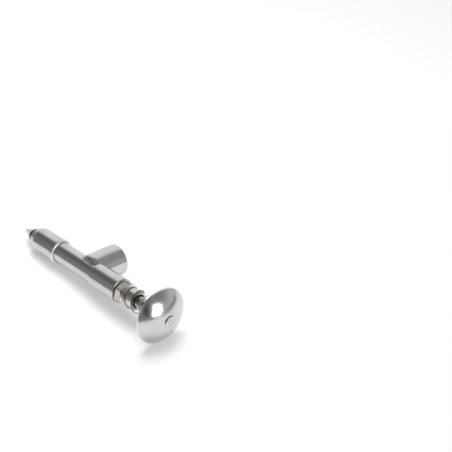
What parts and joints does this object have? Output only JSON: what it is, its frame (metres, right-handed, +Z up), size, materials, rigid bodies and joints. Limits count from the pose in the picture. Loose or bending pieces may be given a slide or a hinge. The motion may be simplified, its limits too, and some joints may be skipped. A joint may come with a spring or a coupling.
{
  "type": "push-type hand grease gun",
  "caption": "Push-type hand grease gun: a side socket takes a grease tube, and pressing the sprung mushroom head pumps grease out of a pointed nozzle.",
  "frame": {"origin": "middle of the bounding box's base, on the surface that the gun lies on", "axes": "+X along the gun towards the push head, +Y towards the tube socket's side, +Z up"},
  "size_m": [0.1114, 0.0326, 0.0285],
  "materials": {
    "plated_steel": "bright zinc or nickel plate, polished",
    "nozzle_steel": "turned, plated",
    "polished_steel": "mirror polished plate",
    "rod_steel": "ground",
    "yellow_zinc": "yellow-passivated zinc on steel, with a pink and green sheen",
    "spring_steel": "drawn wire, plated",
    "clip_steel": "oil-blackened",
    "ball_steel": "polished",
    "copper": "soft annealed",
    "fibre": "dark vulcanised fibre",
    "seal_rubber": "matt"
  },
  "bodies": {
    "gun": {"gun_body": "plated_steel", "nose_cap": "plated_steel", "nozzle_tip": "nozzle_steel", "nose_gasket": "copper", "check_spring": "spring_steel", "rod_seal": "seal_rubber", "gland_nut": "yellow_zinc", "gland_gasket": "fibre", "return_spring": "spring_steel", "socket_gasket": "seal_rubber"},
    "plunger": {"plunger_rod": "rod_steel", "plunger_clip": "clip_steel", "push_head": "polished_steel"},
    "valve": {"check_ball": "ball_steel"}
  },
  "joints": [
    {"name": "plunger_slide", "type": "slide", "parent": "gun", "child": "plunger", "axis": [-0.9961, 0, -0.0878], "range_m": [0, 0.012], "stiffness_N_per_m": 860, "springref_m": -0.005, "deforming": ["return_spring"]},
    {"name": "valve_lift", "type": "slide", "parent": "gun", "child": "valve", "axis": [-0.9961, 0, -0.0878], "range_m": [0, 0.0008], "stiffness_N_per_m": 60, "springref_m": -0.0008, "deforming": ["check_spring"]}
  ]
}
